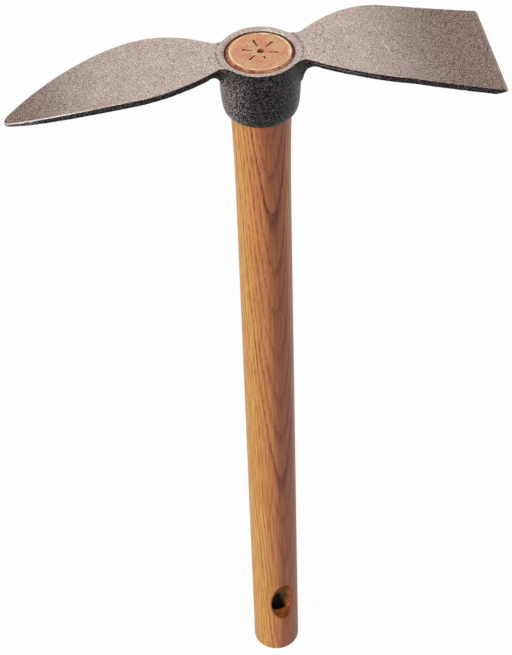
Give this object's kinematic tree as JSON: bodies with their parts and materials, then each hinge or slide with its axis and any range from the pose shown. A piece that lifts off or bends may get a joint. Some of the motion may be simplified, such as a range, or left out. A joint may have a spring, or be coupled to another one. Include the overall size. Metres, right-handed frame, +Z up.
{
  "type": "combination hoe",
  "caption": "Short-handled garden hoe: forged head with a leaf-shaped pointed blade opposite a wide square blade, jammed on a straight turned wooden handle with a hang hole.",
  "frame": {"origin": "centre of the handle's butt end", "axes": "+Z up the handle's axis to the head, +X towards the square blade, -X towards the pointed blade, -Y the side pictured"},
  "size_m": [0.248, 0.0672, 0.4506],
  "materials": {
    "forged_steel": "shot-blasted drop forging under clear lacquer",
    "oiled_ash": "turned, sanded and oiled ash, satin"
  },
  "bodies": {
    "root": {"forged_head": "forged_steel", "ash_handle": "oiled_ash"}
  },
  "joints": []
}
